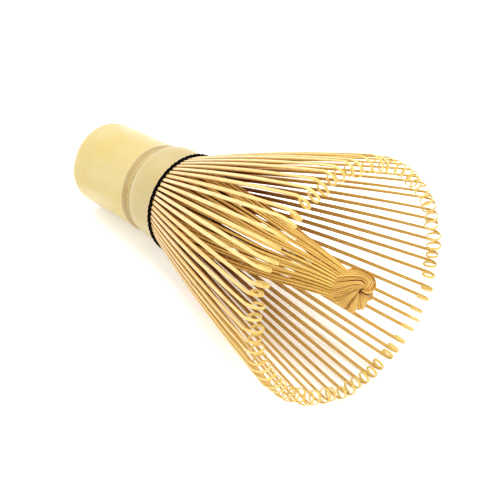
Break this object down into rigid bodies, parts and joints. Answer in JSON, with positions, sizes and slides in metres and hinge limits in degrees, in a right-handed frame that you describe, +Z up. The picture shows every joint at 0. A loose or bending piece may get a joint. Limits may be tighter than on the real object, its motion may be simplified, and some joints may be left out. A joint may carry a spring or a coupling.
{
  "type": "bamboo tea whisk",
  "caption": "Bamboo tea whisk on its side: culm handle with a node ring, thread-bound flaring outer tines with curled tips, inner tines twisted into a knot.",
  "frame": {"origin": "centre of the object's box at the level it rests on", "axes": "+X towards the crown, +Z up; the whisk lies on its side, its own axis rising 11.9 degrees from +X"},
  "size_m": [0.1142, 0.0678, 0.0667],
  "materials": {
    "bamboo_skin": "smooth peeled bamboo culm, satin",
    "bamboo_split": "split and shaved bamboo, satin",
    "bamboo_heart": "thin shaved bamboo splints, matt",
    "black_thread": "waxed twisted cotton thread"
  },
  "bodies": {
    "whisk_body": {"handle": "bamboo_skin", "thread_outer_turn": "black_thread", "thread_inner_turn": "black_thread", "knot": "bamboo_heart", "inner_tines_01": "bamboo_heart", "inner_tines_02": "bamboo_heart", "inner_tines_03": "bamboo_heart", "inner_tines_04": "bamboo_heart", "inner_tines_05": "bamboo_heart", "inner_tines_06": "bamboo_heart", "inner_tines_07": "bamboo_heart", "inner_tines_08": "bamboo_heart", "inner_tines_09": "bamboo_heart", "inner_tines_10": "bamboo_heart", "inner_tines_11": "bamboo_heart", "inner_tines_12": "bamboo_heart", "inner_tines_13": "bamboo_heart", "inner_tines_14": "bamboo_heart", "inner_tines_15": "bamboo_heart", "inner_tines_16": "bamboo_heart"},
    "tines_01": {"outer_tines_01": "bamboo_split", "outer_tines_02": "bamboo_split"},
    "tines_02": {"outer_tines_03": "bamboo_split", "outer_tines_04": "bamboo_split"},
    "tines_03": {"outer_tines_05": "bamboo_split", "outer_tines_06": "bamboo_split"},
    "tines_04": {"outer_tines_07": "bamboo_split", "outer_tines_08": "bamboo_split"},
    "tines_05": {"outer_tines_09": "bamboo_split", "outer_tines_10": "bamboo_split"},
    "tines_06": {"outer_tines_11": "bamboo_split", "outer_tines_12": "bamboo_split"},
    "tines_07": {"outer_tines_13": "bamboo_split", "outer_tines_14": "bamboo_split"},
    "tines_08": {"outer_tines_15": "bamboo_split", "outer_tines_16": "bamboo_split"},
    "tines_09": {"outer_tines_17": "bamboo_split", "outer_tines_18": "bamboo_split"},
    "tines_10": {"outer_tines_19": "bamboo_split", "outer_tines_20": "bamboo_split"},
    "tines_11": {"outer_tines_21": "bamboo_split", "outer_tines_22": "bamboo_split"},
    "tines_12": {"outer_tines_23": "bamboo_split", "outer_tines_24": "bamboo_split"},
    "tines_13": {"outer_tines_25": "bamboo_split", "outer_tines_26": "bamboo_split"},
    "tines_14": {"outer_tines_27": "bamboo_split", "outer_tines_28": "bamboo_split"},
    "tines_15": {"outer_tines_29": "bamboo_split", "outer_tines_30": "bamboo_split"},
    "tines_16": {"outer_tines_31": "bamboo_split", "outer_tines_32": "bamboo_split"}
  },
  "joints": [
    {"name": "tine_flex_01", "type": "hinge", "parent": "whisk_body", "child": "tines_01", "pos_m": [-0.01179, 0, 0.00671], "axis": [0, -1, 0], "range_deg": [-4, 4], "stiffness_Nm_per_rad": 0.1},
    {"name": "tine_flex_02", "type": "hinge", "parent": "whisk_body", "child": "tines_02", "pos_m": [-0.012, 0.00534, 0.00775], "axis": [0.0788, -0.9239, -0.3745], "range_deg": [-4, 4], "stiffness_Nm_per_rad": 0.1},
    {"name": "tine_flex_03", "type": "hinge", "parent": "whisk_body", "child": "tines_03", "pos_m": [-0.01263, 0.00986, 0.0107], "axis": [0.1457, -0.7071, -0.6919], "range_deg": [-4, 4], "stiffness_Nm_per_rad": 0.1},
    {"name": "tine_flex_04", "type": "hinge", "parent": "whisk_body", "child": "tines_04", "pos_m": [-0.01356, 0.01289, 0.01513], "axis": [0.1903, -0.3827, -0.9041], "range_deg": [-4, 4], "stiffness_Nm_per_rad": 0.1},
    {"name": "tine_flex_05", "type": "hinge", "parent": "whisk_body", "child": "tines_05", "pos_m": [-0.01466, 0.01395, 0.02036], "axis": [0.206, 0, -0.9785], "range_deg": [-4, 4], "stiffness_Nm_per_rad": 0.1},
    {"name": "tine_flex_06", "type": "hinge", "parent": "whisk_body", "child": "tines_06", "pos_m": [-0.01576, 0.01289, 0.02558], "axis": [0.1903, 0.3827, -0.9041], "range_deg": [-4, 4], "stiffness_Nm_per_rad": 0.1},
    {"name": "tine_flex_07", "type": "hinge", "parent": "whisk_body", "child": "tines_07", "pos_m": [-0.01669, 0.00986, 0.03001], "axis": [0.1457, 0.7071, -0.6919], "range_deg": [-4, 4], "stiffness_Nm_per_rad": 0.1},
    {"name": "tine_flex_08", "type": "hinge", "parent": "whisk_body", "child": "tines_08", "pos_m": [-0.01732, 0.00534, 0.03297], "axis": [0.0788, 0.9239, -0.3745], "range_deg": [-4, 4], "stiffness_Nm_per_rad": 0.1},
    {"name": "tine_flex_09", "type": "hinge", "parent": "whisk_body", "child": "tines_09", "pos_m": [-0.01753, 0, 0.03401], "axis": [0, 1, 0], "range_deg": [-4, 4], "stiffness_Nm_per_rad": 0.1},
    {"name": "tine_flex_10", "type": "hinge", "parent": "whisk_body", "child": "tines_10", "pos_m": [-0.01732, -0.00534, 0.03297], "axis": [-0.0788, 0.9239, 0.3745], "range_deg": [-4, 4], "stiffness_Nm_per_rad": 0.1},
    {"name": "tine_flex_11", "type": "hinge", "parent": "whisk_body", "child": "tines_11", "pos_m": [-0.01669, -0.00986, 0.03001], "axis": [-0.1457, 0.7071, 0.6919], "range_deg": [-4, 4], "stiffness_Nm_per_rad": 0.1},
    {"name": "tine_flex_12", "type": "hinge", "parent": "whisk_body", "child": "tines_12", "pos_m": [-0.01576, -0.01289, 0.02558], "axis": [-0.1903, 0.3827, 0.9041], "range_deg": [-4, 4], "stiffness_Nm_per_rad": 0.1},
    {"name": "tine_flex_13", "type": "hinge", "parent": "whisk_body", "child": "tines_13", "pos_m": [-0.01466, -0.01395, 0.02036], "axis": [-0.206, 0, 0.9785], "range_deg": [-4, 4], "stiffness_Nm_per_rad": 0.1},
    {"name": "tine_flex_14", "type": "hinge", "parent": "whisk_body", "child": "tines_14", "pos_m": [-0.01356, -0.01289, 0.01513], "axis": [-0.1903, -0.3827, 0.9041], "range_deg": [-4, 4], "stiffness_Nm_per_rad": 0.1},
    {"name": "tine_flex_15", "type": "hinge", "parent": "whisk_body", "child": "tines_15", "pos_m": [-0.01263, -0.00986, 0.0107], "axis": [-0.1457, -0.7071, 0.6919], "range_deg": [-4, 4], "stiffness_Nm_per_rad": 0.1},
    {"name": "tine_flex_16", "type": "hinge", "parent": "whisk_body", "child": "tines_16", "pos_m": [-0.012, -0.00534, 0.00775], "axis": [-0.0788, -0.9239, 0.3745], "range_deg": [-4, 4], "stiffness_Nm_per_rad": 0.1}
  ]
}
